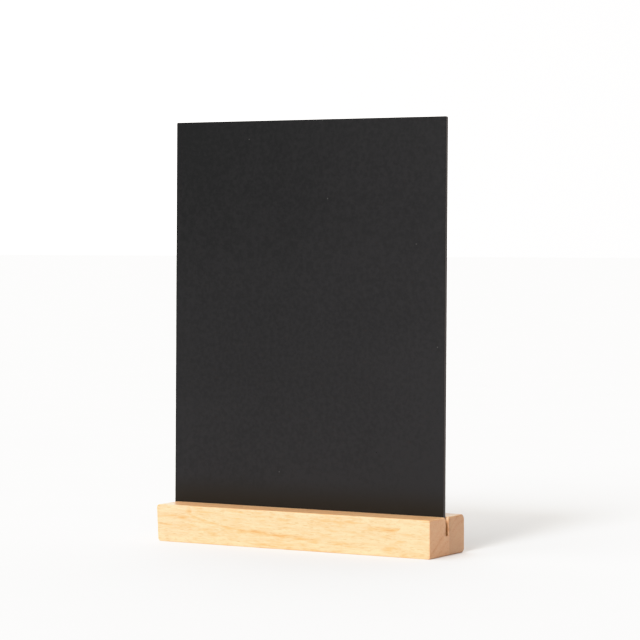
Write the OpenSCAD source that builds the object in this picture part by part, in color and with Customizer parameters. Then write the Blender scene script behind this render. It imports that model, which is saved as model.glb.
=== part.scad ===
// Tabletop menu chalkboard: a thin black board standing in the slot of a wooden base.
// +X runs along the base, -Y is the reading side and +Z is up.
// The origin is on the resting surface, under the middle of the base.

/* [Board] */
// Width of the board
board_w = 216; // [120:1:300]
// Height of the board, with the part hidden in the slot
board_h = 280.5; // [150:0.5:420]
// Thickness of the board over both writing faces
board_t = 3.2; // [2.4:0.1:5]
// Thickness of each writing face
face_t = 0.3; // [0.2:0.05:0.6]
// Radius that eases every edge of the board
board_ease_r = 0.6; // [0.2:0.1:1]
// Angle by which the board leans back in its slot
board_lean = 0.9; // [0:0.1:3]
// How far the board stands left of the middle of the base
board_shift = 1; // [0:0.5:1]
// Play left between the leaning board and the slot, on each side
slot_play = 0.05; // [0.05:0.05:0.3]

/* [Base] */
// How much longer the base is than the board
base_extra_l = 2; // [2:0.5:20]
// Depth of the base from front to back
base_d = 49; // [44:0.5:80]
// Height of the base
base_h = 26; // [22:0.5:40]
// Depth of the slot
slot_deep = 12.5; // [8:0.5:14]
// Thickness of the front stave behind the slot, where the back stave is glued on
sliver_t = 1.75; // [1.25:0.25:6]

/* [Eased edges of the base] */
// Radius of the top edge at the front
front_top_r = 1.2; // [0.5:0.1:2]
// Radius of the bottom edge at the front
front_bottom_r = 0.8; // [0.5:0.1:2]
// Radius of both long edges at the back
back_r = 2.5; // [0.5:0.1:4]
// Radius of the upright edges at the ends
upright_r = 1; // [0.5:0.1:2]
// Radius of the top and bottom edges of the ends
end_r = 1.2; // [0.5:0.1:2]
// Radius of the two lips of the slot
lip_r = 0.8; // [0.3:0.1:1.2]

/* [Finger joints] */
// Distance from the left end of the base to the middle of the left joint
left_joint_from_end = 28.5; // [12:0.5:40]
// Distance from the right end of the base to the middle of the right joint
right_joint_from_end = 24; // [12:0.5:40]
// Length of a finger
finger_l = 4; // [3:0.5:8]
// Number of fingers in the height of the stave
finger_count = 4; // [3:1:6]
// Width of a finger's blunt tip
finger_tip = 0.5; // [0.3:0.1:0.8]

/* [Hidden] */
$fn = 64;
// Cutters and slabs reach this far past the solid they cut
past = 10;
base_l = board_w + base_extra_l;
slot_floor = base_h - slot_deep;
// The leaning board needs this much room between the two walls of the slot
slot_w = board_t / cos(board_lean) + slot_deep * tan(board_lean) + 2 * slot_play;
glue_y = slot_w / 2 + sliver_t;
// The board leans about the middle of its foot, so its back edge there dips by this much
foot_dip = (board_t / 2 - board_ease_r) * sin(board_lean) + board_ease_r * (1 - cos(board_lean));
// Its foot stands this far in front of the middle of the slot, so that it leans evenly in it
foot_forward = slot_deep / 2 * tan(board_lean);
finger_pitch = base_h / finger_count;
// Roots of the fingers: those of the left joint point to +X, and those of the right joint to -X
left_joint_x = -base_l / 2 + left_joint_from_end - finger_l / 2;
right_joint_x = base_l / 2 - right_joint_from_end + finger_l / 2;

front_colour = "#f2d19c";
back_colour = "#dcb48a";
core_colour = "#3f3836";
face_colour = "#323232";

// What is cut to round a solid's square corner at the origin, with the solid on its +x +y side
module corner_waste(r, over = past) {
    difference() {
        translate([-over, -over]) square(r + over);
        translate([r, r]) circle(r);
    }
}

// A w by h outline with a radius for each corner, from low x and low y anticlockwise
module rounded_outline(w, h, low_low, high_low, high_high, low_high) {
    difference() {
        square([w, h]);
        corner_waste(low_low);
        translate([w, 0]) mirror([1, 0]) corner_waste(high_low);
        translate([w, h]) rotate(180) corner_waste(high_high);
        translate([0, h]) mirror([0, 1]) corner_waste(low_high);
    }
}

// Extrudes a YZ outline along X, over the length l and centred
module along_x(l) {
    translate([-l / 2, 0, 0]) rotate([90, 0, 90]) linear_extrude(l) children();
}

// Extrudes an XZ outline along Y, from y = from to y = to
module along_y(from, to) {
    translate([0, to, 0]) rotate([90, 0, 0]) linear_extrude(to - from) children();
}

// The whole base before the slot is cut, with its eased edges
module base_blank() {
    intersection() {
        along_x(base_l) translate([-base_d / 2, 0])
            rounded_outline(base_d, base_h, front_bottom_r, back_r, back_r, front_top_r);
        translate([-base_l / 2, -base_d / 2, 0]) linear_extrude(base_h)
            rounded_outline(base_l, base_d, upright_r, upright_r, upright_r, upright_r);
        along_y(-base_d / 2, base_d / 2) translate([-base_l / 2, 0])
            rounded_outline(base_l, base_h, end_r, end_r, end_r, end_r);
    }
}

// Outline of the slot with its eased lips, open at the top
module slot_outline() {
    translate([-slot_w / 2, slot_floor]) square([slot_w, slot_deep + past]);
    for (side = [0, 1])
        mirror([side, 0]) translate([slot_w / 2, base_h]) mirror([0, 1]) corner_waste(lip_r, slot_w / 4);
}

// The front stave over its whole length, with the slot cut through it
module front_stave() {
    difference() {
        intersection() {
            base_blank();
            translate([-base_l, glue_y - base_d, -past]) cube([2 * base_l, base_d, base_h + 2 * past]);
        }
        along_x(base_l + 2 * past) slot_outline();
    }
}

// Corners of the fingers of one joint from the bottom to the top, with their roots at x
function finger_line(x, reach) = [
    for (i = [0 : finger_count - 1])
        each [
            [x, i * finger_pitch + finger_tip / 2],
            [x + reach, (i + 0.5) * finger_pitch - finger_tip / 2],
            [x + reach, (i + 0.5) * finger_pitch + finger_tip / 2],
            [x, (i + 1) * finger_pitch - finger_tip / 2]
        ]
];

// All that lies left of a finger joint with its roots at x and its tips at x + reach
module left_of_joint(x, reach) {
    below = [[-base_l, -past], [x, -past]];
    above = [[x, base_h + past], [-base_l, base_h + past]];
    along_y(-base_d, base_d) polygon(concat(below, finger_line(x, reach), above));
}

module left_of_left_joint() {
    left_of_joint(left_joint_x, finger_l);
}

module left_of_right_joint() {
    left_of_joint(right_joint_x, -finger_l);
}

module front_stave_left() {
    color(front_colour) intersection() {
        front_stave();
        left_of_left_joint();
    }
}

module front_stave_middle() {
    color(front_colour) difference() {
        intersection() {
            front_stave();
            left_of_right_joint();
        }
        left_of_left_joint();
    }
}

module front_stave_right() {
    color(front_colour) difference() {
        front_stave();
        left_of_right_joint();
    }
}

module back_stave() {
    color(back_colour) intersection() {
        base_blank();
        translate([-base_l, glue_y, -past]) cube([2 * base_l, base_d, base_h + 2 * past]);
    }
}

// Puts what is modelled upright on the XZ plane into the slot, leaning back
module in_slot() {
    translate([-board_shift, -foot_forward, slot_floor + foot_dip])
        rotate([-board_lean, 0, 0])
            children();
}

// The whole board with its eased edges, upright and centred on the XZ plane
module board_blank() {
    intersection() {
        along_x(board_w) translate([-board_t / 2, 0])
            rounded_outline(board_t, board_h, board_ease_r, board_ease_r, board_ease_r, board_ease_r);
        translate([-board_w / 2, -board_t / 2, 0]) linear_extrude(board_h)
            rounded_outline(board_w, board_t, board_ease_r, board_ease_r, board_ease_r, board_ease_r);
    }
}

// One layer of the board, from y = from to y = to
module board_layer(from, to) {
    in_slot() intersection() {
        board_blank();
        translate([-board_w, from, -past]) cube([2 * board_w, to - from, board_h + 2 * past]);
    }
}

module board_core() {
    color(core_colour) board_layer(-board_t / 2 + face_t, board_t / 2 - face_t);
}

module front_writing_face() {
    color(face_colour) board_layer(-board_t / 2, -board_t / 2 + face_t);
}

module back_writing_face() {
    color(face_colour) board_layer(board_t / 2 - face_t, board_t / 2);
}

front_stave_left();
front_stave_middle();
front_stave_right();
back_stave();
board_core();
front_writing_face();
back_writing_face();
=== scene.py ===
"""A tabletop menu chalkboard: a thin black board standing in the slot of a glued-up wooden base."""

import math
from collections import namedtuple

import bmesh
import bpy
from mathutils import Matrix, Vector, noise


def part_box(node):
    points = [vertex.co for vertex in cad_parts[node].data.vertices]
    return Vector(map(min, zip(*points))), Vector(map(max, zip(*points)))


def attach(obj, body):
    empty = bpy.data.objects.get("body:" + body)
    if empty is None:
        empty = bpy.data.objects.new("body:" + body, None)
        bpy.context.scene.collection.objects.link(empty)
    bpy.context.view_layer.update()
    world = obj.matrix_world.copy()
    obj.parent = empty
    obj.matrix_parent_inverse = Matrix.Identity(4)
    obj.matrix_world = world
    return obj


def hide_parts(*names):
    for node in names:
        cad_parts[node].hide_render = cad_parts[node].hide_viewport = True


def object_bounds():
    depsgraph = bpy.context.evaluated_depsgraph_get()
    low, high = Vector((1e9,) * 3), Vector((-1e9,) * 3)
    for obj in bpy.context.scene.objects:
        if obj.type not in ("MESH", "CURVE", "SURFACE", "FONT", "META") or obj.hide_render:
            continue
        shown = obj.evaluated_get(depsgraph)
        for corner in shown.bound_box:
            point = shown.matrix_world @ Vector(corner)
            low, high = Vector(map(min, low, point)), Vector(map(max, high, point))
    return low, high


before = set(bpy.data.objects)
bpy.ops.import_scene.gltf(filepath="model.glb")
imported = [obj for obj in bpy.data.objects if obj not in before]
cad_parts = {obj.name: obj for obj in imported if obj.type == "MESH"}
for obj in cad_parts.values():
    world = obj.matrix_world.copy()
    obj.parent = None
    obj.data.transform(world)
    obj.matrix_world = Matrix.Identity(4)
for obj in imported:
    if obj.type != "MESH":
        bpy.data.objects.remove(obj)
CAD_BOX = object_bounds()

MM = 0.001
# Places closer together than this count as one
SAME = 0.01 * MM


# ---------------------------------------------------------------- what the frame says

def cad_points(*nodes):
    """Every vertex of these CAD nodes, in the row frame."""
    return [v.co.copy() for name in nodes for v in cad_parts[name].data.vertices]


def corners_of(points):
    """Lowest and highest corner of some points."""
    low = Vector([min(p[i] for p in points) for i in range(3)])
    high = Vector([max(p[i] for p in points) for i in range(3)])
    return low, high


FRONT_BLOCKS = ("front_stave_left", "front_stave_middle", "front_stave_right")
FRONT_LOW, FRONT_HIGH = corners_of(cad_points(*FRONT_BLOCKS))
BACK_LOW, BACK_HIGH = corners_of(cad_points("back_stave"))
BASE_H = FRONT_HIGH.z
HALF_L = FRONT_HIGH.x
GLUE_Y = BACK_LOW.y

# The corners of the slot's floor are the points of the front stave nearest its middle plane
SLOT_HALF = min(abs(p.y) for p in cad_points("front_stave_left"))
SLOT_FLOOR = min(p.z for p in cad_points("front_stave_left") if abs(abs(p.y) - SLOT_HALF) < SAME)

# The fingers of the left joint point to +X, and those of the right joint to -X
LEFT_ROOT, LEFT_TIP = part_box("front_stave_middle")[0][0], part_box("front_stave_left")[1][0]
RIGHT_TIP, RIGHT_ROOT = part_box("front_stave_right")[0][0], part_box("front_stave_middle")[1][0]
# Their number and the width of their blunt tips are those of the CAD
FINGERS = 4
FINGER_TIP = 0.5 * MM


def board_lean():
    """How far the board leans back, from the CAD's largest front facet."""
    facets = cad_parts["front_writing_face"].data.polygons
    normal = max(facets, key=lambda f: f.area).normal
    return math.atan2(abs(normal.z), abs(normal.y))


LEAN = board_lean()
UPRIGHT_TO_ROW = Matrix.Rotation(-LEAN, 3, "X")
ROW_TO_UPRIGHT = UPRIGHT_TO_ROW.inverted()


def upright_box(*nodes):
    """The box of these CAD nodes in the frame in which the board stands upright."""
    return corners_of([ROW_TO_UPRIGHT @ p for p in cad_points(*nodes)])


BOARD_NODES = ("board_core", "front_writing_face", "back_writing_face")
BOARD_LOW, BOARD_HIGH = upright_box(*BOARD_NODES)
BOARD_MID_Y = (BOARD_LOW.y + BOARD_HIGH.y) / 2
BOARD_HALF_T = (BOARD_HIGH.y - BOARD_LOW.y) / 2


# ---------------------------------------------------------------- mesh tools

def quarter_turn(steps):
    """Angles from 0 to 90 degrees in equal steps, in radians."""
    return [math.radians(90) * k / steps for k in range(steps + 1)]


def nearness(distance, reach):
    """1 at no distance, falling evenly to 0 at reach and beyond."""
    return min(1.0, max(0.0, 1 - distance / reach))


def new_object(name, bm):
    """Makes an object from bm, with its normals pointing out."""
    bmesh.ops.recalc_face_normals(bm, faces=bm.faces)
    mesh = bpy.data.meshes.new(name)
    bm.to_mesh(mesh)
    bm.free()
    obj = bpy.data.objects.new(name, mesh)
    bpy.context.scene.collection.objects.link(obj)
    return obj


def loft(name, rings):
    """A closed solid through rings of equal length, with a flat cap on the first and the last."""
    bm = bmesh.new()
    rows = [[bm.verts.new(point) for point in ring] for ring in rings]
    for low, high in zip(rows, rows[1:]):
        for i in range(len(low)):
            j = (i + 1) % len(low)
            bm.faces.new((low[i], low[j], high[j], high[i]))
    bm.faces.new(rows[0])
    bm.faces.new(rows[-1])
    return new_object(name, bm)


def applied(obj):
    """Replaces obj's mesh by what its modifiers make of it."""
    bpy.context.view_layer.update()
    shape = obj.evaluated_get(bpy.context.evaluated_depsgraph_get())
    mesh = bpy.data.meshes.new_from_object(shape)
    obj.modifiers.clear()
    obj.data = mesh
    return obj


def boolean(obj, cutter, operation):
    """Cuts obj with cutter, exactly, and leaves cutter as it is."""
    cut = obj.modifiers.new("cut", "BOOLEAN")
    cut.object = cutter
    cut.operation = operation
    cut.solver = "EXACT"
    return applied(obj)


def smooth(obj, sharp_deg=35):
    """Smooth shading with true flats: sharp corners stay sharp and large faces set the normals."""
    obj.data.shade_smooth()
    obj.data.set_sharp_from_angle(angle=math.radians(sharp_deg))
    weighted = obj.modifiers.new("flat faces lead", "WEIGHTED_NORMAL")
    weighted.keep_sharp = True
    return applied(obj)


# ---------------------------------------------------------------- the wooden base

# A corner of a stave's section, at (y, z). It is rounded over the lengths before and after, along
# the edges on each side of it. give says how much of the easing at the left and at the right end
# is taken off the face that follows the corner.
Corner = namedtuple("Corner", "y z before after give")
LEFT, RIGHT = 0, 1

ARC_STEPS = 7
STATION_STEP = 4 * MM
# The ends of the staves are eased over this length, in this many steps
END_EASE = 1.3 * MM
END_STEPS = 6

FRONT_FOOT_R, FRONT_TOP_R = 0.8 * MM, 1.2 * MM
BACK_FOOT_R, BACK_TOP_R = 2.3 * MM, 2.6 * MM
# A corner that is left as it was cut
SHARP = 0.12 * MM
# Sanding by hand changes a radius by up to this share, at this many places to a metre, and each
# corner of the section changes on its own
RADIUS_WANDER, WANDERS_TO_METRE, CORNERS_APART = 0.25, 45, 3.7

# Glue lines show as hairlines of this width
SEAM = 0.04 * MM

# How far the lips of the slot are rounded across the top and down the wall, in millimetres: as
# usual, and at the right end, where they are worn over the last stretch
BACK_LIP_ACROSS, BACK_LIP_DOWN = (0.7, 1.35), (0.8, 5.0)
FRONT_LIP_ACROSS, FRONT_LIP_DOWN = (0.7, 1.3), (0.8, 2.0)
LIP_WEAR_REACH = 7 * MM

# The left end is cut out of square: it leans in from this share of its height down to its foot.
# The foot is worn away further, up to its own share. Both die away along the base over the reach.
LEFT_LEAN, LEFT_LEAN_UP_TO = 0.38 * MM, 0.77
LEFT_FOOT, LEFT_FOOT_UP_TO = 1.3 * MM, 0.23
LEFT_REACH = 11 * MM
# Its crown, the top share of its height, is sanded down by so much, over a shorter reach
LEFT_CROWN, LEFT_CROWN_SHARE = 0.35 * MM, 0.15
LEFT_CROWN_REACH = 6 * MM


def moved_in(corners, i, inset, end):
    """Corner i after the faces on each side of it have moved inwards. All faces lie square."""
    here, before, after = corners[i], corners[i - 1], corners[(i + 1) % len(corners)]
    y, z = here.y, here.z
    for start, stop in ((before, here), (here, after)):
        step = inset * start.give[end]
        if abs(stop.y - start.y) > abs(stop.z - start.z):
            z += step if stop.y > start.y else -step
        else:
            y += -step if stop.z > start.z else step
    return Vector((y, z))


def section(corners, x, inset, end, seed):
    """The ring of points round a stave at x, with its corners rounded a little unevenly."""
    spots = [moved_in(corners, i, inset, end) for i in range(len(corners))]
    ring = []
    for i, corner in enumerate(corners):
        here = spots[i]
        to_before = (spots[i - 1] - here).normalized()
        to_after = (spots[(i + 1) % len(spots)] - here).normalized()
        place = Vector((x * WANDERS_TO_METRE, i * CORNERS_APART, seed))
        wander = 1 + RADIUS_WANDER * noise.noise(place)
        before, after = (max(SHARP, r * wander) for r in (corner.before, corner.after))
        for a in quarter_turn(ARC_STEPS):
            spot = here + to_before * before * (1 - math.sin(a))
            spot += to_after * after * (1 - math.cos(a))
            ring.append((x, spot.x, spot.y))
    return ring


def stations():
    """(x, inset, end) along the base: closely spaced over the eased ends and evenly between."""
    turns = quarter_turn(END_STEPS)
    eased = [(END_EASE * (1 - math.cos(a)), END_EASE * (1 - math.sin(a))) for a in turns]
    inner = HALF_L - END_EASE
    count = round(2 * inner / STATION_STEP)
    even = [(-inner + 2 * inner * k / count, 0.0, LEFT) for k in range(1, count)]
    left = [(-HALF_L + step, inset, LEFT) for step, inset in eased]
    right = [(HALF_L - step, inset, RIGHT) for step, inset in reversed(eased)]
    return left + even + right


def worn_lip(x, usual, at_end):
    """A length in millimetres that grows from usual to at_end just before the right end."""
    share = nearness(HALF_L - x, LIP_WEAR_REACH)
    return (usual + (at_end - usual) * share * share * (3 - 2 * share)) * MM


def front_corners(x):
    """Section of the front stave, from its bottom front corner anticlockwise seen from +X."""
    back_across, back_down = worn_lip(x, *BACK_LIP_ACROSS), worn_lip(x, *BACK_LIP_DOWN)
    front_across, front_down = worn_lip(x, *FRONT_LIP_ACROSS), worn_lip(x, *FRONT_LIP_DOWN)
    low, top = 0.0, BASE_H
    return [
        Corner(FRONT_LOW.y, low, FRONT_FOOT_R, FRONT_FOOT_R, (0.8, 0.8)),
        Corner(GLUE_Y, low, SHARP, SHARP, (0.0, 0.0)),
        Corner(GLUE_Y, top, SHARP, SHARP, (1.0, 1.0)),
        Corner(SLOT_HALF, top, back_across, back_down, (0.3, 0.45)),
        Corner(SLOT_HALF, SLOT_FLOOR, SHARP, SHARP, (0.2, 0.2)),
        Corner(-SLOT_HALF, SLOT_FLOOR, SHARP, SHARP, (0.3, 0.3)),
        Corner(-SLOT_HALF, top, front_down, front_across, (1.0, 0.85)),
        Corner(FRONT_LOW.y, top, FRONT_TOP_R, FRONT_TOP_R, (0.25, 0.4)),
    ]


def back_corners(x):
    """Section of the back stave, which is the same at every x, in the same order."""
    low, top = 0.0, BASE_H
    return [
        Corner(GLUE_Y + SEAM, low, SHARP, SHARP, (0.8, 0.8)),
        Corner(BACK_HIGH.y, low, BACK_FOOT_R, BACK_FOOT_R, (1.0, 0.3)),
        Corner(BACK_HIGH.y, top, BACK_TOP_R, BACK_TOP_R, (1.0, 1.0)),
        Corner(GLUE_Y + SEAM, top, SHARP, SHARP, (0.0, 0.0)),
    ]


def worn_left_end(point):
    """Where a point of a stave comes to lie once the left end is cut and worn."""
    x, y, z = point
    from_end, up = x + HALF_L, z / BASE_H
    lean = LEFT_LEAN * nearness(up, LEFT_LEAN_UP_TO)
    foot = LEFT_FOOT * nearness(up, LEFT_FOOT_UP_TO) ** 2
    crown = LEFT_CROWN * nearness(1 - up, LEFT_CROWN_SHARE)
    inwards = nearness(from_end, LEFT_REACH) * (lean + foot)
    down = nearness(from_end, LEFT_CROWN_REACH) ** 2 * crown
    return x + inwards, y, z - down


def stave(name, corners_at, seed):
    """A stave over the whole length of the base, with the section that corners_at gives."""
    rings = [section(corners_at(x), x, inset, end, seed) for x, inset, end in stations()]
    return loft(name, [[worn_left_end(point) for point in ring] for ring in rings])


def finger_cutter(root, tip, shift):
    """A solid that holds all that lies left of a finger joint, moved along X by shift."""
    pitch = BASE_H / FINGERS
    line = []
    for i in range(FINGERS):
        line += [
            (root, i * pitch + FINGER_TIP / 2),
            (tip, (i + 0.5) * pitch - FINGER_TIP / 2),
            (tip, (i + 0.5) * pitch + FINGER_TIP / 2),
            (root, (i + 1) * pitch - FINGER_TIP / 2),
        ]
    beyond = 10 * MM
    low, high, left = -beyond, BASE_H + beyond, -2 * HALF_L
    outline = [(left, low), (root, low), *line, (root, high), (left, high)]
    rings = [[(x + shift, y, z) for x, z in outline] for y in (2 * FRONT_LOW.y, -2 * FRONT_LOW.y)]
    return loft("finger_cutter", rings)


def front_blocks():
    """The front stave, cut into its three blocks at the finger joints."""
    before_left = finger_cutter(LEFT_ROOT, LEFT_TIP, -SEAM / 2)
    after_left = finger_cutter(LEFT_ROOT, LEFT_TIP, SEAM / 2)
    before_right = finger_cutter(RIGHT_ROOT, RIGHT_TIP, -SEAM / 2)
    after_right = finger_cutter(RIGHT_ROOT, RIGHT_TIP, SEAM / 2)
    cuts = {
        "front_stave_left": ((before_left, "INTERSECT"),),
        "front_stave_middle": ((before_right, "INTERSECT"), (after_left, "DIFFERENCE")),
        "front_stave_right": ((after_right, "DIFFERENCE"),),
    }
    blocks = {}
    for node, steps in cuts.items():
        block = stave(node.replace("front_stave", "front_wood"), front_corners, seed=1.3)
        for cutter, operation in steps:
            boolean(block, cutter, operation)
        blocks[node] = smooth(block)
    for cutter in (before_left, after_left, before_right, after_right):
        bpy.data.objects.remove(cutter)
    return blocks


# ---------------------------------------------------------------- the board

BOARD_EASE = 0.6 * MM
BOARD_CORNER = 0.8 * MM
CORNER_STEPS = 5
EASE_STEPS = 4


def board_ring(y):
    """The outline of the board at depth y, eased near both faces, in the row frame."""
    past_flat = max(0.0, abs(y - BOARD_MID_Y) - (BOARD_HALF_T - BOARD_EASE))
    inset = BOARD_EASE - math.sqrt(max(0.0, BOARD_EASE**2 - past_flat**2))
    left, right = BOARD_LOW.x + inset + BOARD_CORNER, BOARD_HIGH.x - inset - BOARD_CORNER
    foot, top = BOARD_LOW.z + inset + BOARD_CORNER, BOARD_HIGH.z - inset - BOARD_CORNER
    ring = []
    for quarter, (x, z) in enumerate(((right, top), (left, top), (left, foot), (right, foot))):
        for turn in quarter_turn(CORNER_STEPS):
            a = math.radians(90) * quarter + turn
            spot = Vector((x + BOARD_CORNER * math.cos(a), y, z + BOARD_CORNER * math.sin(a)))
            ring.append(UPRIGHT_TO_ROW @ spot)
    return ring


def eased_depths(low, high):
    """Depths from low to high at which the outline of the board changes."""
    rounded = [BOARD_HALF_T - BOARD_EASE * (1 - math.sin(a)) for a in quarter_turn(EASE_STEPS)]
    depths = sorted(BOARD_MID_Y + side * d for d in rounded for side in (-1, 1))
    return [low] + [d for d in depths if low + SAME < d < high - SAME] + [high]


def board_layer(name, node):
    """One layer of the board: a plate that carries its share of the eased edge."""
    low, high = upright_box(node)
    rings = [board_ring(y) for y in eased_depths(low.y, high.y)]
    return smooth(loft(name, rings), sharp_deg=50)


# ---------------------------------------------------------------- materials

def fill_ramp(ramp, stops):
    """Gives a colour ramp these stops: (place, colour)."""
    while len(ramp.elements) < len(stops):
        ramp.elements.new(0.5)
    for element, (place, colour) in zip(ramp.elements, stops):
        element.position = place
        element.color = (*colour, 1)


class Shader:
    """A material with one Principled shader, and short ways to add nodes to it."""

    def __init__(self, name):
        """Makes the material, with its shader as new."""
        self.material = bpy.data.materials.new(name)
        self.material.use_nodes = True
        self.tree = self.material.node_tree
        self.out = self.tree.nodes["Principled BSDF"]

    def put(self, socket, value):
        """Links a socket to another socket, or sets it to a value. None leaves it as it is."""
        if isinstance(value, bpy.types.NodeSocket):
            self.tree.links.new(value, socket)
        elif value is not None:
            socket.default_value = value

    def add(self, kind, *inputs, **settings):
        """Adds a node. inputs go to its sockets in order."""
        node = self.tree.nodes.new(kind)
        for key, value in settings.items():
            setattr(node, key, value)
        for socket, value in zip(node.inputs, inputs):
            self.put(socket, value)
        return node

    def named(self, kind, **inputs):
        """Adds a node. inputs go to the sockets of those names."""
        node = self.tree.nodes.new(kind)
        for name, value in inputs.items():
            self.put(node.inputs[name], value)
        return node

    def math(self, operation, *values):
        """The result of one operation on numbers."""
        return self.add("ShaderNodeMath", *values, operation=operation).outputs[0]

    def vector(self, operation, *values):
        """The result of one operation on vectors that gives a vector."""
        return self.add("ShaderNodeVectorMath", *values, operation=operation).outputs["Vector"]

    def length(self, vector):
        """The length of a vector."""
        return self.add("ShaderNodeVectorMath", vector, operation="LENGTH").outputs["Value"]

    def axes(self, vector):
        """The X, Y and Z of a vector."""
        return self.add("ShaderNodeSeparateXYZ", vector).outputs

    def here(self, kind="Object"):
        """The piece's own coordinates in metres, or with Normal, the way its surface faces."""
        return self.add("ShaderNodeTexCoord").outputs[kind]

    def place(self, scale, location=(0, 0, 0)):
        """The piece's own coordinates, scaled by one number or by one for each axis, and moved."""
        scales = scale if isinstance(scale, tuple) else (scale,) * 3
        return self.add("ShaderNodeMapping", self.here(), location, None, scales).outputs[0]

    def noise(self, vector, detail=2.0, roughness=0.5):
        """Soft noise from 0 to 1, with features about one unit of vector across."""
        node = self.named("ShaderNodeTexNoise", Vector=vector, Scale=1.0, Detail=detail,
                          Roughness=roughness)
        return node.outputs["Fac"]

    def cells(self, vector):
        """Cells about one unit of vector across, each with a Color and a Distance to its middle."""
        return self.named("ShaderNodeTexVoronoi", Vector=vector, Scale=1.0).outputs

    def linear(self, factor, low, high, start=0.0, stop=1.0):
        """factor taken from the range low to high and turned into start to stop, clamped."""
        return self.add("ShaderNodeMapRange", factor, low, high, start, stop).outputs[0]

    def ramp(self, factor, low, high, start=0.0, stop=1.0):
        """The same as linear, but eased in and out."""
        node = self.add("ShaderNodeMapRange", factor, low, high, start, stop,
                        interpolation_type="SMOOTHSTEP")
        return node.outputs[0]

    def mix(self, factor, a, b, blend="MIX"):
        """Colour a with colour b blended in by factor. A tuple is a linear colour."""
        node = self.add("ShaderNodeMix", data_type="RGBA", blend_type=blend, clamp_factor=True)
        self.put(node.inputs["Factor"], factor)
        colours = [s for s in node.inputs if s.type == "RGBA"]
        for socket, value in zip(colours, (a, b)):
            self.put(socket, (*value, 1) if isinstance(value, tuple) else value)
        return next(s for s in node.outputs if s.type == "RGBA")

    def tint(self, factor, colour, tint):
        """Colour multiplied by tint where factor is 1."""
        return self.mix(factor, colour, tint, "MULTIPLY")

    def bump(self, height, distance, strength):
        """The normal of a surface that height raises, by distance in metres where it is 1."""
        node = self.named("ShaderNodeBump", Strength=strength, Distance=distance, Height=height)
        return node.outputs["Normal"]

    def finish(self, **inputs):
        """Sets the shader's inputs, such as base_color for Base Color, and gives the material."""
        for name, value in inputs.items():
            socket = self.out.inputs[name.replace("_", " ").title().replace("Ior", "IOR")]
            self.put(socket, value)
        return self.material


# Noise keeps to the middle of its range from 0 to 1: these are the parts of it that ramps use
NOISE_WIDE, NOISE_CORE = (0.25, 0.75), (0.3, 0.7)
NOISE_LOW, NOISE_HIGH = (0.3, 0.6), (0.3, 0.8)


# ---------------------------------------------------------------- wood

# Linear colours of the wood, from its palest fibres to its darkest growth lines
TONES = (
    (0.00, (0.910, 0.570, 0.310)),
    (0.30, (0.890, 0.525, 0.289)),
    (0.52, (0.870, 0.465, 0.243)),
    (0.78, (0.80, 0.375, 0.145)),
    (1.00, (0.69, 0.310, 0.095)),
)
# What the tone is made of: noise with this many features to a metre along X, Y and Z, and the
# tones that it adds from its low values to its high ones
FIBRES, FIBRE_TONES = (110, 1300, 1100), (-0.08, 0.34)
STREAKS, STREAK_TONES = (110, 800, 680), (-0.07, 0.35)
CLOUDS, CLOUD_TONES = (26, 150, 130), (0.04, 0.24)
# The tone that a growth line or a mark adds where it is darkest
LINE_TONE = 0.52

# Pores of two kinds: the length and width in millimetres of the cells they lie in, one to a cell,
# their radius as a share of a cell, and how strongly they show
PORES = ((6.5, 0.82, 0.40, 1.0), (3.8, 0.55, 0.36, 0.7))
PORE_COLOUR, PORE_MIX = (0.50, 0.300, 0.120), 0.70
# The smallest pores have this share of the radius, and each fades over this share of it
SMALLEST_PORE, PORE_FADE = 0.3, 0.4
PORE_SEED_STEP = 7

# A face counts as end grain, or as level, by the cosine of its angle to that axis: not at all up
# to the first and wholly from the second. Growth lines and pores are this strong along the grain
# and on its ends.
FACING = (0.55, 0.95)
LINES_SHOW, PORES_SHOW = (0.8, 2.0), (1.0, 0.35)
# End grain drinks more of the varnish. Level faces are a little yellower, as painted shade, and the
# walls of the slot are darker still: partly the sawn wood, partly painted shade in the recess
END_TINT = (0.87, 0.80, 0.66)
# Painted shade: level faces are tinted yellower to stand in for the top in front of the board,
# which mirrors the black board rather than the white room
LEVEL_SHADE_TINT = (1.0, 1.01, 0.90)
# Painted shade: the slot's walls and floor are darkened for the shade deep in the recess, as well
# as for the rougher sawn wood
SLOT_SHADE_TINT = (0.80, 0.68, 0.50)
# Where the slot's darkening (sawn wood and painted shade) fades, in millimetres: into the walls,
# under the floor and below the top
INTO_WALL, UNDER_FLOOR, BELOW_TOP = (0.1, 0.25), (0.3, 0.1), (5.5, 2.5)

# Roughness from the paler fibres to the darker ones, and what a pore adds to it
WOOD_ROUGH, PORE_ROUGH = (0.36, 0.48), 0.2
# A fibre's height as a share of a pore's depth, and the bump: that depth and the strength
FIBRE_HEIGHT = 0.35
WOOD_BUMP = (0.03 * MM, 0.6)
VARNISH, VARNISH_ROUGH = 0.25, 0.25

# How one block grew, in millimetres. Its growth lines lie ring apart, and the darkest is at
# height line, plus swing that dies away over run from the block's X of start. slant and bow turn
# and bend them from the front face to the back. They fade to faint from X fade[0] to fade[1].
# tint multiplies the block's colour, and seed picks its noise.
Growth = namedtuple("Growth", "line ring swing start run slant bow fade faint tint seed marks")

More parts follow.
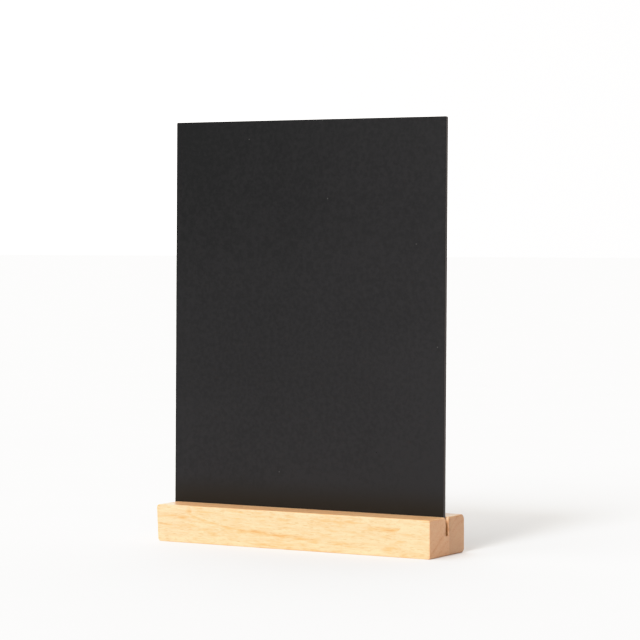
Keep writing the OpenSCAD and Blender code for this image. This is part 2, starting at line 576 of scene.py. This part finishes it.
# A mark is a soft streak in the front of a block: x, z, half length, half height and strength
GROWTH = {
    "front_stave_left": Growth(
        line=19.5, ring=6.6, swing=0.0, start=-109, run=30, slant=0.70, bow=0.004,
        fade=(-120, -110), faint=0.45, tint=(1, 0.97, 0.985), seed=4.2,
        marks=((-101, 18.7, 8, 0.9, 0.75), (-86.5, 18.3, 5, 1.2, 0.9), (-81.5, 22.3, 2.6, 4.0, 0.8),
               (-103, 12.6, 6, 1.3, 0.5), (-87, 12.4, 8, 1.2, 0.4))),
    "front_stave_middle": Growth(
        line=7.1, ring=7.0, swing=12.4, start=-78, run=45, slant=0.70, bow=0.004,
        fade=(14, 34), faint=0.25, tint=(1, 1, 1), seed=11.0,
        marks=((-26, 10.6, 16, 1.3, 0.9), (-6, 9.3, 16, 1.2, 1.0), (9, 7.9, 10, 1.1, 0.95),
               (19, 6.9, 8, 1.1, 0.8), (-60, 7.2, 8, 0.9, 0.7), (-46, 6.2, 8, 0.8, 0.5),
               (-23, 2.8, 7, 1.3, 0.8), (42, 6.6, 7, 1.5, 0.7), (57, 4.8, 6, 1.2, 0.6),
               (78, 4.2, 5, 3.0, 0.6), (76, 18.4, 13, 1.7, 0.8), (28, 21.2, 5, 0.8, 0.6),
               (50, 21.4, 18, 0.6, 0.5), (-1, 22.6, 4, 0.9, 0.5))),
    "front_stave_right": Growth(
        line=2.6, ring=7.6, swing=0.0, start=90, run=30, slant=0.70, bow=0.003,
        fade=(60, 80), faint=0.40, tint=(1, 1, 1), seed=23.0,
        marks=((93, 15.6, 5, 0.8, 0.25), (90, 3.0, 4, 1.2, 0.3), (108, 21.5, 5, 1.2, 0.4))),
    "back_stave": Growth(
        line=17.0, ring=5.2, swing=3.0, start=-109, run=80, slant=1.10, bow=0.030,
        fade=(-120, -110), faint=0.4, tint=(0.845, 0.835, 0.815), seed=31.0, marks=()),
}
# Growth lines wander by so many millimetres, slowly and quickly: features to a metre and reach
SLOW_WARP, SLOW_REACH = (9, 45, 50), 1.6
QUICK_WARP, QUICK_REACH = (40, 150, 170), 1.1
# A growth line darkens over this part of a ring, up to its dark edge, and leaves a halo above it
LINE_START, LINE_EDGE = 0.50, 0.95
HALO, HALO_REACH = 0.35, 0.22
# How strong growth lines are above the darkest one, and from three below it
ABOVE_DARKEST, FAR_BELOW = 0.30, 0.25
# Lines are patchy, with so many features to a metre and at least this strength
PATCHES, PATCH_LEAST = (30, 140, 140), 0.45
# Between fibres, lines and marks keep this strength
LINE_BETWEEN_FIBRES, MARK_BETWEEN_FIBRES = 0.55, 0.75
# Marks gain their full strength between these noise values of the fibres
MARK_FIBRES = (0.3, 0.62)
# Marks die away behind the front face by this rate to a millimetre
MARK_DECAY = 0.25


def growth_rings(s, growth, x, z, depth):
    """Which growth line passes through a point: whole numbers are the dark lines."""
    slow = s.noise(s.place(SLOW_WARP, (growth.seed, 0, 0)), detail=1.0)
    quick = s.noise(s.place(QUICK_WARP, (0, growth.seed, 0)))
    warp = s.math("ADD", s.linear(slow, 0, 1, -SLOW_REACH, SLOW_REACH),
                  s.linear(quick, 0, 1, -QUICK_REACH, QUICK_REACH))
    run = s.math("DIVIDE", s.math("SUBTRACT", x, growth.start), -growth.run)
    drop = s.math("MULTIPLY", s.math("EXPONENT", run), growth.swing)
    bend = s.math("MULTIPLY", depth, s.math("MULTIPLY_ADD", depth, -growth.bow, growth.slant))
    level = s.math("SUBTRACT", s.math("SUBTRACT", s.math("ADD", z, warp), drop), bend)
    return s.math("DIVIDE", s.math("SUBTRACT", level, growth.line), growth.ring)


def growth_lines(s, growth, rings, x, fibres):
    """How dark the growth lines are: each darkens upwards and stops short."""
    part, which = s.math("FRACT", rings), s.math("FLOOR", rings)
    line = s.math("MULTIPLY", s.ramp(part, LINE_START, LINE_EDGE),
                  s.ramp(part, LINE_EDGE, 1.0, 1.0, 0.0))
    halo = s.math("MULTIPLY", s.ramp(part, 0.0, HALO_REACH, 1.0, 0.0), HALO)
    patches = s.noise(s.place(PATCHES, (0, 0, growth.seed)), detail=3.0)
    lines = s.math("ADD", line, halo)
    for factor in (
        s.linear(which, -1, 0, 1.0, ABOVE_DARKEST),
        s.linear(which, -3, -1, FAR_BELOW, 1.0),
        s.ramp(x, *growth.fade, 1.0, growth.faint),
        s.ramp(patches, *NOISE_LOW, PATCH_LEAST, 1.0),
        s.ramp(fibres, *NOISE_LOW, LINE_BETWEEN_FIBRES, 1.0),
    ):
        lines = s.math("MULTIPLY", lines, factor)
    return lines


def growth_marks(s, growth, x, z, depth, fibres):
    """The soft streaks of the front, which die away behind it."""
    total = 0.0
    for mark_x, mark_z, half_l, half_h, strength in growth.marks:
        across = s.math("DIVIDE", s.math("SUBTRACT", x, mark_x), half_l)
        up = s.math("DIVIDE", s.math("SUBTRACT", z, mark_z), half_h)
        square = s.math("ADD", s.math("MULTIPLY", across, across), s.math("MULTIPLY", up, up))
        mark = s.math("MULTIPLY", s.math("EXPONENT", s.math("MULTIPLY", square, -1.0)), strength)
        total = s.math("MAXIMUM", total, mark)
    near = s.math("EXPONENT", s.math("MULTIPLY", depth, -MARK_DECAY))
    between = s.ramp(fibres, *MARK_FIBRES, MARK_BETWEEN_FIBRES, 1.0)
    return s.math("MULTIPLY", s.math("MULTIPLY", total, near), between)


def dashes(s, length, width, radius, seed):
    """Pores of one kind: thin spindles along the grain, one to a cell."""
    cell = s.cells(s.place((1 / MM / length, 1 / MM / width, 1 / MM / width), (seed, 0, seed)))
    chance = s.axes(cell["Color"])["X"]
    size = s.linear(chance, 0.0, 1.0, SMALLEST_PORE * radius, radius)
    return s.ramp(s.math("SUBTRACT", size, cell["Distance"]), 0.0, PORE_FADE * radius)


def all_pores(s, seed, end_grain):
    """How much of a pore there is: both kinds, fainter on end grain."""
    pores = 0.0
    for i, (length, width, radius, strength) in enumerate(PORES):
        kind = dashes(s, length, width, radius, seed + PORE_SEED_STEP * i)
        pores = s.math("MAXIMUM", pores, s.math("MULTIPLY", kind, strength))
    return s.math("MULTIPLY", pores, s.linear(end_grain, 0, 1, *PORES_SHOW))


def in_slot(s, y, z):
    """Where the walls and floor of the slot are, below its lips, growing towards the floor: the
    mask of the slot's painted shade and darker sawn wood.
    """
    wall, floor, top = SLOT_HALF / MM, SLOT_FLOOR / MM, BASE_H / MM
    between = s.ramp(s.math("ABSOLUTE", y), wall + INTO_WALL[0], wall + INTO_WALL[1], 1.0, 0.0)
    under = s.ramp(z, top - BELOW_TOP[0], top - BELOW_TOP[1], 1.0, 0.0)
    over = s.ramp(z, floor - UNDER_FLOOR[0], floor - UNDER_FLOOR[1])
    return s.math("MULTIPLY", s.math("MULTIPLY", between, under), over)


def wood_colour(s, tone, pores, tints):
    """The colour of a tone, with its pores, multiplied by each tint where its share is 1."""
    tones = s.add("ShaderNodeValToRGB", tone)
    fill_ramp(tones.color_ramp, TONES)
    colour = s.mix(s.math("MULTIPLY", pores, PORE_MIX), tones.outputs["Color"], PORE_COLOUR)
    for share, tint in tints:
        colour = s.tint(share, colour, tint)
    return colour


def wood(name, growth, face_y):
    """Pale varnished hardwood, as one solid field that runs on from the faces to the end grain."""
    s = Shader(name)
    seed = growth.seed
    x, y, z = s.axes(s.place(1 / MM))
    depth = s.math("SUBTRACT", y, face_y / MM)
    normal = s.axes(s.here("Normal"))
    end_grain, level = (s.ramp(s.math("ABSOLUTE", normal[axis]), *FACING) for axis in "XZ")
    fibres = s.noise(s.place(FIBRES, (seed, seed, 0)), detail=4.0, roughness=0.62)
    streaks = s.noise(s.place(STREAKS, (0, seed, seed)))
    clouds = s.noise(s.place(CLOUDS, (seed, 0, seed)))
    pores = all_pores(s, seed, end_grain)
    lines = growth_lines(s, growth, growth_rings(s, growth, x, z, depth), x, fibres)
    lines = s.math("MULTIPLY", lines, s.linear(end_grain, 0, 1, *LINES_SHOW))
    marks = growth_marks(s, growth, x, z, depth, fibres)

    tone = s.math("MULTIPLY", s.math("MAXIMUM", lines, marks), LINE_TONE)
    for field, added in ((fibres, FIBRE_TONES), (streaks, STREAK_TONES), (clouds, CLOUD_TONES)):
        tone = s.math("ADD", tone, s.linear(field, *NOISE_WIDE, *added))
    # cut darkens the slot's walls and floor: painted shade in the recess, and the sawn wood
    cut = in_slot(s, y, z)
    # level tints level faces yellower: painted shade for the top in front of the board
    tints = ((end_grain, END_TINT), (level, LEVEL_SHADE_TINT), (cut, SLOT_SHADE_TINT), (1.0, growth.tint))
    colour = wood_colour(s, tone, pores, tints)

    rough = s.ramp(fibres, *NOISE_HIGH, *WOOD_ROUGH)
    rough = s.math("ADD", rough, s.math("MULTIPLY", pores, PORE_ROUGH))
    height = s.math("SUBTRACT", s.math("MULTIPLY", fibres, FIBRE_HEIGHT), pores)
    return s.finish(base_color=colour, roughness=rough, coat_weight=VARNISH,
                    coat_roughness=VARNISH_ROUGH, normal=s.bump(height, *WOOD_BUMP))


# ---------------------------------------------------------------- the board's surfaces

# Linear colours of the writing face, at its top left corner and where it is palest
DARKEST_FACE, PALEST_FACE = (0.0053, 0.0054, 0.0057), (0.0168, 0.0159, 0.0167)
# The face pales from the top left corner, and is palest at this distance in heights of the board.
# A width of the board counts as this share of a height.
PALEST_AT, WIDTH_AS_HEIGHT = 1.1, 0.7
# Clouds and a fine mottle change the paleness by so much, with so many features to a metre
CLOUDED, CLOUDED_BY = 14, 0.06
MOTTLED, MOTTLED_BY = 330, 0.22
TOOTH = 1500
# Loose specks, one to a cell: cells to a metre, and where a speck fades, in shares of a cell
DUST_CELLS, DUST_R = 24, (0.007, 0.012)
# Larger specks and a nick, as shares of the face's width and of its height above the base
SPECKS = ((0.281, 0.952), (0.576, 0.797), (0.975, 0.424), (0.402, 0.092))
NICK = (0.76, 0.154)
SPECK_R = 0.35 * MM
SPECK_COLOUR, SPECK_MIX = (0.30, 0.29, 0.27), 0.2
NICK_COLOUR = (0.002, 0.002, 0.002)
# Painted reflection: the face just above the base is darkened and warmed to stand in for the wooden
# base reflected in it
BASE_REFLECTION_BAND = 22 * MM
BASE_REFLECTION_COLOUR = (0.0133, 0.0103, 0.0072)
# The mottle's height as a share of the tooth's, and the bump: the depth and the strength
MOTTLE_HEIGHT = 0.6
FACE_BUMP = (0.05 * MM, 0.35)
FACE_ROUGH, FACE_SPECULAR = (0.60, 0.70), 0.10

# Stained fibreboard, patch by patch, and its paler flecks of fibre: features to a metre, the
# noise values over which a fleck shows, and how strongly it does
EDGE_COLOURS = (0.058, 0.048, 0.045), (0.072, 0.058, 0.054)
EDGE_PATCHES, EDGE_FIBRES = 45, 700
FLECK_COLOUR, FLECK_NOISE, FLECK_MIX = (0.110, 0.082, 0.070), (0.55, 0.8), 0.5
EDGE_ROUGH, EDGE_BUMP = (0.62, 0.78), (0.05 * MM, 0.5)


def speck(s, here, across, up):
    """A soft round speck on the face of the board, at these shares of its width and height."""
    spot = Vector((BOARD_LOW.x, 0, BASE_H))
    spot += Vector((across * (BOARD_HIGH.x - BOARD_LOW.x), 0, up * (BOARD_HIGH.z - BASE_H)))
    flat = s.vector("MULTIPLY", s.vector("SUBTRACT", here, spot), (1, 0, 1))
    return s.ramp(s.length(flat), 0.5 * SPECK_R, 1.5 * SPECK_R, 1.0, 0.0)


def all_specks(s, here, seed):
    """Specks of chalk dust: loose ones all over, and those of SPECKS."""
    cells = s.cells(s.place(DUST_CELLS, (seed, seed, 0)))
    specks = s.ramp(cells["Distance"], *DUST_R, 1.0, 0.0)
    for across, up in SPECKS:
        specks = s.math("MAXIMUM", specks, speck(s, here, across, up))
    return specks


def paling_from_corner(s, here, mottle, seed):
    """How pale the face is, from 0 at its top left corner to 1, with clouds and a mottle."""
    corner = (BOARD_LOW.x, 0, BOARD_HIGH.z)
    shares = (WIDTH_AS_HEIGHT / (BOARD_HIGH.x - BOARD_LOW.x), 0, 1 / (BOARD_HIGH.z - BOARD_LOW.z))
    from_corner = s.length(s.vector("MULTIPLY", s.vector("SUBTRACT", here, corner), shares))
    clouds = s.noise(s.place(CLOUDED, (seed, 0, 0)), detail=3.0)
    paleness = s.linear(from_corner, 0.0, PALEST_AT)
    for field, by in ((clouds, CLOUDED_BY), (mottle, MOTTLED_BY)):
        paleness = s.math("ADD", paleness, s.ramp(field, *NOISE_CORE, -by, by))
    return paleness


def writing_face(name, seed):
    """Matt black writing surface: a fine tooth, a tone that pales away from the top left corner, a
    few specks, a nick, and a painted reflection of the base along its foot.
    """
    s = Shader(name)
    here = s.here()
    mottle = s.noise(s.place(MOTTLED, (0, seed, 0)), detail=3.0, roughness=0.65)
    tooth = s.noise(s.place(TOOTH, (0, 0, seed)))
    # foot is the band just above the base that carries the painted reflection of the wooden base
    foot = s.ramp(s.axes(here)["Z"], BASE_H, BASE_H + BASE_REFLECTION_BAND, 1.0, 0.0)
    specks = s.math("MULTIPLY", all_specks(s, here, seed), SPECK_MIX)

    colour = s.mix(paling_from_corner(s, here, mottle, seed), DARKEST_FACE, PALEST_FACE)
    # Painted reflection of the base: the foot of the face darkened and warmed
    colour = s.mix(foot, colour, BASE_REFLECTION_COLOUR)
    colour = s.mix(specks, colour, SPECK_COLOUR)
    colour = s.mix(speck(s, here, *NICK), colour, NICK_COLOUR)

    rough = s.ramp(mottle, *NOISE_CORE, *FACE_ROUGH)
    height = s.math("ADD", tooth, s.math("MULTIPLY", mottle, MOTTLE_HEIGHT))
    return s.finish(base_color=colour, roughness=rough, specular_ior_level=FACE_SPECULAR,
                    normal=s.bump(height, *FACE_BUMP))


def board_edge(name):
    """Stained fibreboard: a dark warm edge with flecks of fibre."""
    s = Shader(name)
    fibres = s.noise(s.place(EDGE_FIBRES), detail=3.0, roughness=0.7)
    patches = s.noise(s.place(EDGE_PATCHES))
    colour = s.mix(s.ramp(patches, *NOISE_CORE), *EDGE_COLOURS)
    colour = s.mix(s.ramp(fibres, *FLECK_NOISE, 0.0, FLECK_MIX), colour, FLECK_COLOUR)
    rough = s.ramp(fibres, *NOISE_HIGH, *EDGE_ROUGH)
    return s.finish(base_color=colour, roughness=rough, normal=s.bump(fibres, *EDGE_BUMP))


# ---------------------------------------------------------------- pieces on their bodies

def dress(piece, body, node, material):
    """Gives a piece its material and its body, and hides the CAD node that it stands for."""
    piece.data.materials.clear()
    piece.data.materials.append(material)
    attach(piece, body)
    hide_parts(node)


def build_base():
    """The three blocks of the front stave, and the back stave."""
    for node, piece in front_blocks().items():
        dress(piece, "base", node, wood(piece.name, GROWTH[node], FRONT_LOW.y))
    back = smooth(stave("back_wood", back_corners, seed=6.1))
    dress(back, "base", "back_stave", wood(back.name, GROWTH["back_stave"], GLUE_Y))


def build_board():
    """The core of the board and its two writing faces."""
    edge = board_edge("stained_fibreboard")
    front, back = writing_face("front_chalk_surface", 2.0), writing_face("back_chalk_surface", 9.0)
    dress(board_layer("core_board", "board_core"), "board", "board_core", edge)
    for name, material in (("front_writing_face", front), ("back_writing_face", back)):
        piece = board_layer(name.replace("writing_face", "chalk_sheet"), name)
        dress(piece, "board", name, material)


# ---------------------------------------------------------------- studio

FLOOR_HALF = 14.0
FLOOR_COLOURS = (0.915, 0.905, 0.895), (0.925, 0.915, 0.905)
FLOOR_CLOUDS, FLOOR_ROUGH = 9, 0.8

# The room is bright all round but for its right side: how bright each is, and the X of the
# directions up to which it is bright and from which it is dark
BRIGHT_SIDE, DARK_SIDE = 1.66, 0.15
BRIGHT_TO, DARK_FROM = -0.60, 0.75
ROOM_TINT = (1.0, 0.983, 0.957)

# The key is a tall soft source made of two round ones, each with its elevation in degrees, its
# power and its width in degrees
KEY_AZIMUTH = 0.5
KEY_PARTS = ((44.5, 1.08, 14.0), (31.0, 1.02, 18.0))
KEY_TINT = (0.955, 0.982, 1.0)
KEY_DISTANCE = 3.0

# The camera looks almost level, from the front and right, through a long lens. It aims at this X,
# and at this share of the object's height.
CAMERA_AZIMUTH, CAMERA_ELEVATION, CAMERA_ROLL = 30.82, 2.05, -0.12
CAMERA_DISTANCE = 1.861
AIM_X, AIM_UP = 0.0103, 0.532
LENS_MM, SENSOR_MM = 152.6, 36.0
CLIP_START, CLIP_END = 0.1, 100

# The brightest tones roll off gently: light of the first strength comes out as the second tone
LIGHT_TO_TONE = (
    (0.0, 0.0), (0.35, 0.35), (0.65, 0.65), (0.80, 0.77),
    (0.92, 0.862), (1.03, 0.918), (1.2, 0.966), (1.5, 1.0),
)
COMBINED_CURVE = 3


def floor_material():
    """Pale matt paper."""
    s = Shader("floor_paper")
    colour = s.mix(s.ramp(s.noise(s.place(FLOOR_CLOUDS)), *NOISE_CORE), *FLOOR_COLOURS)
    return s.finish(base_color=colour, roughness=FLOOR_ROUGH)


def build_floor():
    """A wide floor at height 0."""
    bm = bmesh.new()
    corners = ((-1, -1), (1, -1), (1, 1), (-1, 1))
    bm.faces.new([bm.verts.new((FLOOR_HALF * x, FLOOR_HALF * y, 0)) for x, y in corners])
    floor = new_object("studio_floor", bm)
    floor.data.materials.append(floor_material())


def away(azimuth, elevation, distance, target):
    """A point at that distance from target. Azimuth 0 is in front, at -Y, and 90 is at +X."""
    a, e = math.radians(azimuth), math.radians(elevation)
    back = Vector((math.sin(a) * math.cos(e), -math.cos(a) * math.cos(e), math.sin(e)))
    return target + back * distance


def aimed(name, data, spot, target, roll=0.0):
    """Adds a light or camera at spot that looks at target, rolled by so many degrees."""
    obj = bpy.data.objects.new(name, data)
    bpy.context.scene.collection.objects.link(obj)
    turn = (target - spot).to_track_quat("-Z", "Y").to_matrix().to_4x4()
    obj.matrix_world = Matrix.Translation(spot) @ turn @ Matrix.Rotation(math.radians(roll), 4, "Z")
    return obj


def build_world():
    """A white studio that darkens towards +X."""
    world = bpy.data.worlds.new("studio")
    world.use_nodes = True
    nodes, links = world.node_tree.nodes, world.node_tree.links
    direction = nodes.new("ShaderNodeTexCoord").outputs["Generated"]
    axes, level = nodes.new("ShaderNodeSeparateXYZ"), nodes.new("ShaderNodeMapRange")
    for name, value in (("From Min", BRIGHT_TO), ("From Max", DARK_FROM), ("To Min", BRIGHT_SIDE),
                        ("To Max", DARK_SIDE)):
        level.inputs[name].default_value = value
    background = nodes["Background"]
    background.inputs["Color"].default_value = (*ROOM_TINT, 1)
    links.new(direction, axes.inputs[0])
    links.new(axes.outputs["X"], level.inputs["Value"])
    links.new(level.outputs[0], background.inputs["Strength"])
    bpy.context.scene.world = world


def build_key():
    """A tall, far light that falls from the front and casts a soft shadow straight behind."""
    for elevation, power, width in KEY_PARTS:
        light = bpy.data.lights.new("key", "SUN")
        light.energy = power
        light.angle = math.radians(width)
        light.color = KEY_TINT
        aimed("key", light, away(KEY_AZIMUTH, elevation, KEY_DISTANCE, Vector()), Vector())


def build_camera():
    """The camera, and the scene's choice of it."""
    data = bpy.data.cameras.new("camera")
    data.sensor_width = SENSOR_MM
    data.lens = LENS_MM
    data.clip_start = CLIP_START
    data.clip_end = CLIP_END
    low, high = (Vector(c) for c in CAD_BOX)
    target = Vector((AIM_X, 0, low.z + AIM_UP * (high.z - low.z)))
    spot = away(CAMERA_AZIMUTH, CAMERA_ELEVATION, CAMERA_DISTANCE, target)
    bpy.context.scene.camera = aimed("camera", data, spot, target, CAMERA_ROLL)


def build_tones():
    """The curve from light to tone, for all three colours together."""
    view = bpy.context.scene.view_settings
    view.view_transform = "Standard"
    view.use_curve_mapping = True
    white = LIGHT_TO_TONE[-1][0]
    view.curve_mapping.white_level = (white, white, white)
    curve = view.curve_mapping.curves[COMBINED_CURVE]
    for light, tone in LIGHT_TO_TONE[1:-1]:
        curve.points.new(light / white, tone)
    view.curve_mapping.update()


build_base()
build_board()
build_tones()
build_floor()
build_world()
build_key()
build_camera()
